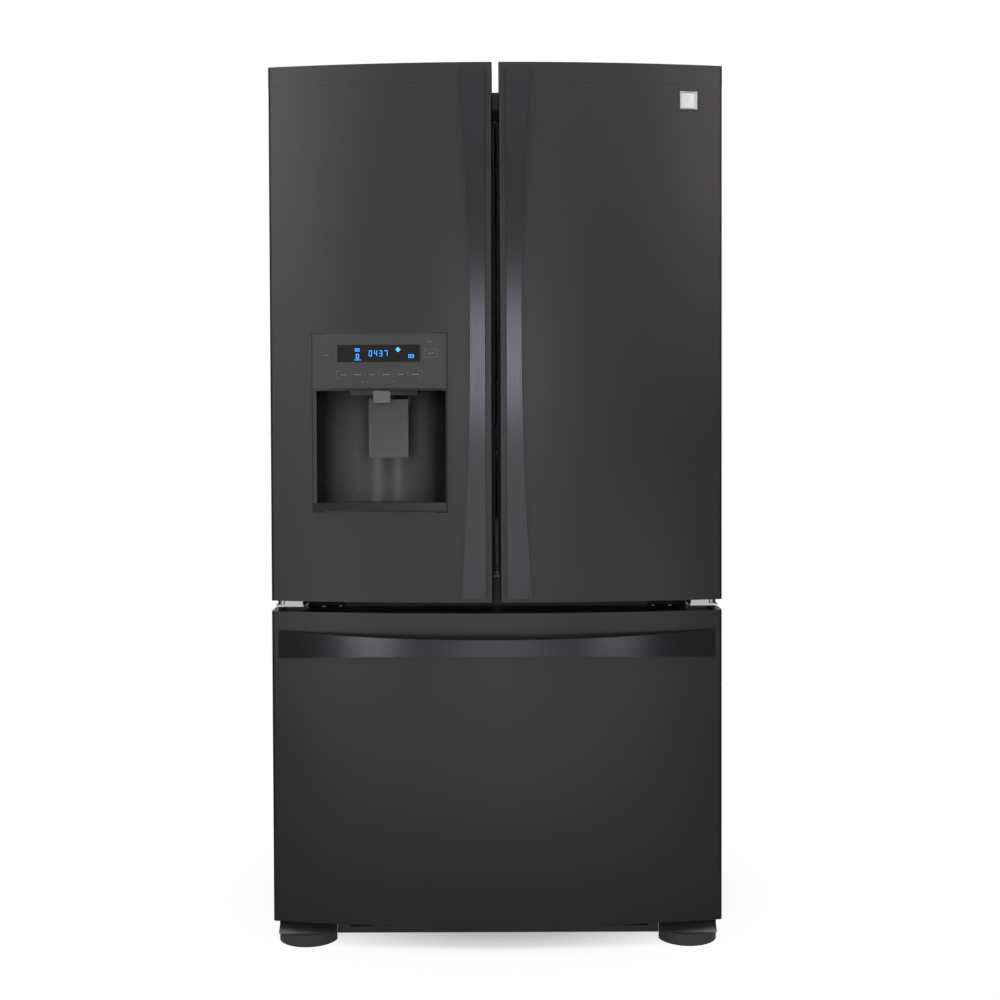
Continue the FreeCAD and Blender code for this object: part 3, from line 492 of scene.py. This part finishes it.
# Black strips round the whole station, painted shade standing for the shadow in the reveal gap
station_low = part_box("dispenser_recess")[0]
station_high = panel_high
REVEAL = 0.0016
LAP = 0.0003
outer_left, outer_right = station_low[0] - REVEAL, station_high[0] + REVEAL


def edge_bar(x0, x1, z0, z1):
    return on_door(bar_outline(x0, x1, z0, z1), 0.0009, 0.002)


reveal_shades = [
    edge_bar(outer_left, station_low[0] + LAP, station_low[2], station_high[2]),
    edge_bar(station_high[0] - LAP, outer_right, station_low[2], station_high[2]),
    edge_bar(outer_left, outer_right, station_high[2] - LAP, station_high[2] + REVEAL),
    edge_bar(outer_left, outer_right, station_low[2] - REVEAL, station_low[2] + LAP),
]
joined("station_reveal_shade", reveal_shades, painted_shade_black, "left_door")

# ------------------------------------------------------------ rim of the badge
badge_low, badge_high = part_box("badge")
BORDER = 0.0022
INSET = 0.001
badge_face = badge_low[1]
rim_left, rim_right = badge_low[0] + INSET, badge_high[0] - INSET
rim_low, rim_high = badge_low[2] + INSET, badge_high[2] - INSET
inner_low, inner_high = badge_low[2] + BORDER, badge_high[2] - BORDER


def badge_bar(x0, x1, z0, z1):
    return block(x0, x1, badge_face - 0.0007, badge_face + 0.0004, z0, z1)


rim = [
    badge_bar(rim_left, rim_right, rim_low, inner_low),
    badge_bar(rim_left, rim_right, inner_high, rim_high),
    badge_bar(rim_left, badge_low[0] + BORDER, inner_low, inner_high),
    badge_bar(badge_high[0] - BORDER, rim_right, inner_low, inner_high),
]
joined("badge_rim", rim, badge_silver, "right_door")

# ------------------------------------------------------ trims on the cold room
shelf_low, shelf_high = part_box("glass_shelves")
trim = moulded("shelf_trim", (0.62, 0.64, 0.65), 0.35)

GLASS_NEAR = -0.130
PANE_HALF = shelf_high[0]
MIDDLE_GAP = 0.003
edges = []
for level in (1.180, 1.440):
    for x0, x1 in ((-PANE_HALF, -MIDDLE_GAP), (MIDDLE_GAP, PANE_HALF)):
        edges.append(block(x0, x1, GLASS_NEAR - 0.004, GLASS_NEAR + 0.010,
                           level - 0.005, level + 0.009))
edges.append(block(-PANE_HALF, PANE_HALF, shelf_low[1] - 0.004, shelf_low[1] + 0.010, 0.982, 0.992))
trims = joined("shelf_trims", edges, trim, "cabinet")
soften(trims, 0.0015)

# Black cover plate on the mullion striker, whose black also stands in as painted shade in the door gap,
# and a black backing behind the kick grille as painted shade seen through its slots
grille_low, grille_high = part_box("base_grille")
rear = grille_high[1]
covers = [
    block(-0.007, 0.007, -0.2953, -0.2950, 1.672, 1.695),
    block(grille_low[0] + 0.004, grille_high[0] - 0.004, rear + 0.0002, rear + 0.0016,
          grille_low[2] + 0.002, grille_high[2] - 0.001),
]
joined("painted_shade_backings", covers, painted_shade_black, "cabinet")

# --------------------------------------------------------------- studio, light
REACH = 60.0
floor_data = bpy.data.meshes.new("studio_floor")
floor_data.from_pydata([(-REACH, -REACH, 0), (REACH, -REACH, 0), (REACH, REACH, 0), (-REACH, REACH, 0)],
                       [], [(0, 1, 2, 3)])
floor = bpy.data.objects.new("studio_floor", floor_data)
scene.collection.objects.link(floor)

# The floor is pale paper that turns plain white for the camera away from the part. In reflections it
# is a dimmer glow, brightest straight in front of the part and further off.
floor_look = bpy.data.materials.new("studio_floor")
floor_look.use_nodes = True
tree = floor_look.node_tree
tree.nodes.clear()
output = tree.nodes.new("ShaderNodeOutputMaterial")
paper = add_node(tree, "ShaderNodeBsdfDiffuse", Color=(0.80, 0.80, 0.80, 1))
white = add_node(tree, "ShaderNodeEmission", Strength=1.0)
place = tree.nodes.new("ShaderNodeTexCoord").outputs["Object"]
ray = tree.nodes.new("ShaderNodeLightPath")
distance = add_node(tree, "ShaderNodeVectorMath", operation="LENGTH")
tree.links.new(place, distance.inputs[0])
away = distance.outputs["Value"]
aside = remap(tree, size_along(tree, place, "X"), (0.1, 1.6), (1.0, 0.15), smooth=True)
further = remap(tree, away, (0.7, 3.4), (0.30, 1.40))
mirrored = tree.nodes.new("ShaderNodeEmission")
tree.links.new(product(tree, aside, further), mirrored.inputs["Strength"])
base = mixed_shader(tree, ray.outputs["Is Glossy Ray"], paper.outputs["BSDF"],
                    mirrored.outputs["Emission"])
whiteness = product(tree, remap(tree, away, (0.05, 0.65), smooth=True), ray.outputs["Is Camera Ray"])
tree.links.new(mixed_shader(tree, whiteness, base, white.outputs["Emission"]),
               output.inputs["Surface"])
floor_data.materials.append(floor_look)

# The surroundings are white to the camera, and light the part more from above than from below
world = bpy.data.worlds.new("studio")
scene.world = world
world.use_nodes = True
sky = world.node_tree
background = sky.nodes["Background"]
background.inputs["Color"].default_value = (1, 1, 1, 1)
sky_ray = sky.nodes.new("ShaderNodeLightPath")
direction = sky.nodes.new("ShaderNodeSeparateXYZ")
sky.links.new(sky.nodes.new("ShaderNodeTexCoord").outputs["Generated"], direction.inputs["Vector"])
strength = sky.nodes.new("ShaderNodeMix")
strength.inputs["B"].default_value = 1.0
sky.links.new(sky_ray.outputs["Is Camera Ray"], strength.inputs["Factor"])
sky.links.new(remap(sky, direction.outputs["Z"], (-0.30, 0.50), (0.18, 0.70)), strength.inputs["A"])
sky.links.new(strength.outputs["Result"], background.inputs["Strength"])


def softbox(name, place, target, width, height, power, color=(1, 1, 1)):
    lamp = bpy.data.lights.new(name, "AREA")
    lamp.shape = "RECTANGLE"
    lamp.size = width
    lamp.size_y = height
    lamp.energy = power
    lamp.color = color
    holder = bpy.data.objects.new(name, lamp)
    holder.location = place
    holder.rotation_euler = (Vector(target) - Vector(place)).to_track_quat("-Z", "Y").to_euler()
    scene.collection.objects.link(holder)


softbox("key_above", (0.0, -1.6, 4.2), (0, 0.2, 0.6), 5.0, 3.0, 170)
softbox("strip_left", (-2.3, -3.3, 2.35), (-0.2, -0.4, 1.5), 0.9, 1.5, 13, (0.94, 0.96, 1.0))
softbox("strip_right", (2.3, -3.3, 2.35), (0.2, -0.4, 1.5), 0.8, 1.4, 8, (1.0, 0.98, 0.96))
softbox("low_left", (-1.45, -3.2, 0.25), (-0.25, -0.4, 0.6), 0.55, 0.4, 3.0, (0.92, 0.95, 1.0))
softbox("low_right", (1.35, -3.2, 0.25), (0.25, -0.4, 0.6), 0.55, 0.4, 1.8, (0.92, 0.95, 1.0))
softbox("beside_camera", (0.0, -3.75, 1.25), (0, -0.4, 1.20), 0.5, 0.75, 6, (0.88, 0.91, 1.0))
softbox("recess_light", (-1.75, -3.2, 1.0), (-0.23, -0.4, 1.0), 0.22, 0.8, 2.6, (0.97, 0.97, 1.0))

# ---------------------------------------------------------------------- camera
lens = bpy.data.cameras.new("camera")
lens.sensor_width = 36.0
lens.lens = 52.3
lens.shift_y = -0.06
camera = bpy.data.objects.new("camera", lens)
scene.collection.objects.link(camera)
CAMERA_PLACE = (0.0075, -3.289, 1.0866)
LOOK_DOWN = 0.0230
ROLL = 0.0034
camera.matrix_world = (
    Matrix.Translation(CAMERA_PLACE)
    @ Matrix.Rotation(math.radians(90) - LOOK_DOWN, 4, "X")
    @ Matrix.Rotation(-ROLL, 4, "Z")
)
scene.camera = camera
scene.view_settings.view_transform = "Standard"
